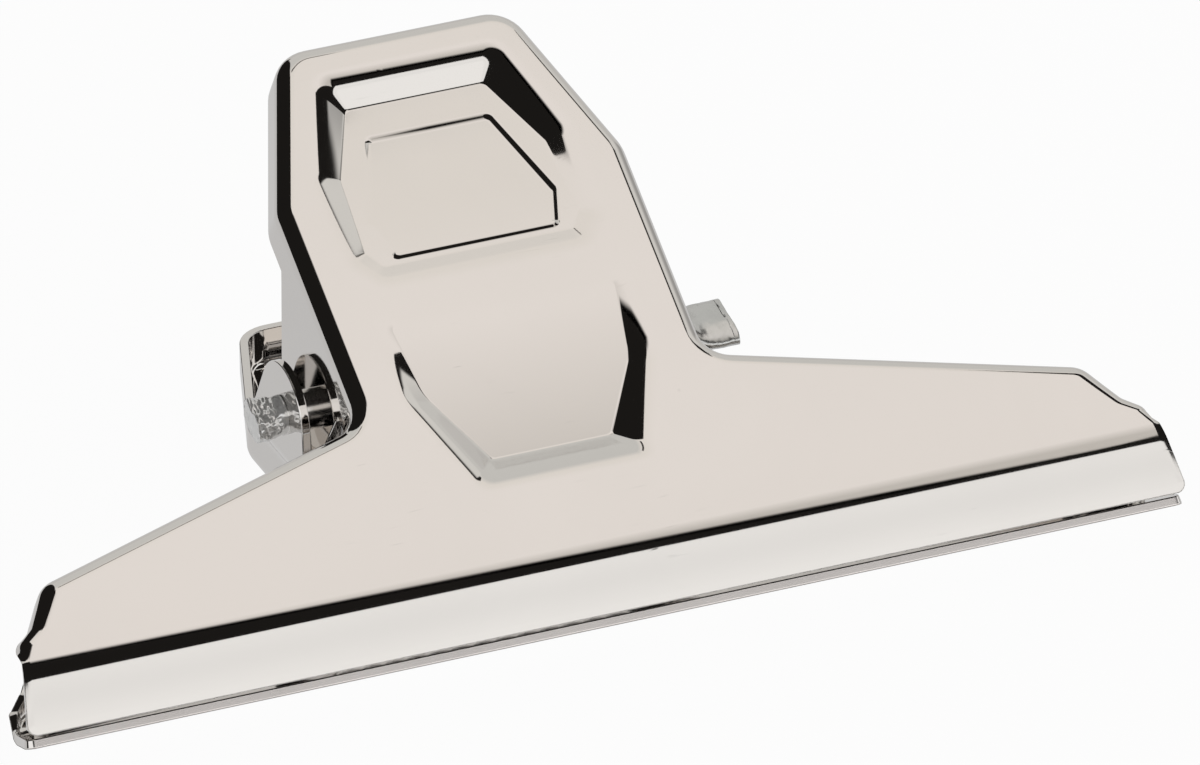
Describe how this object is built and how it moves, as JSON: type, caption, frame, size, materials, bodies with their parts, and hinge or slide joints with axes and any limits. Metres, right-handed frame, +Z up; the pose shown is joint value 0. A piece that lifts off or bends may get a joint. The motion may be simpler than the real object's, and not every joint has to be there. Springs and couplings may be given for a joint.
{
  "type": "bulldog clip",
  "caption": "Wide pressed-steel bulldog clip: two long jaws with embossed handles, hinged on a crushed axle and held shut by a torsion spring.",
  "frame": {"origin": "centre of the underside of the clip's box, as it lies on the outer face of its rear plate", "axes": "+X along the jaw, +Y from the lips to the ends of the handles, +Z up out of the rear face"},
  "size_m": [0.1196, 0.0661, 0.0409],
  "materials": {
    "nickel_plate": "bright nickel plate on pressed steel, finely scuffed",
    "zinc_wire": "zinc-plated wire, dull and crumpled where its ends are crushed",
    "spring_wire": "drawn spring wire, satin"
  },
  "bodies": {
    "rear": {"rear_plate": "nickel_plate", "axle": "zinc_wire", "torsion_spring": "spring_wire"},
    "front": {"front_plate": "nickel_plate"}
  },
  "joints": [
    {"name": "jaw_hinge", "type": "hinge", "parent": "rear", "child": "front", "pos_m": [0, 0.00111, 0.01323], "axis": [-1, 0, 0], "range_deg": [0, 50], "stiffness_Nm_per_rad": 0.4, "springref_deg": -85.94, "deforming": ["torsion_spring"]}
  ]
}
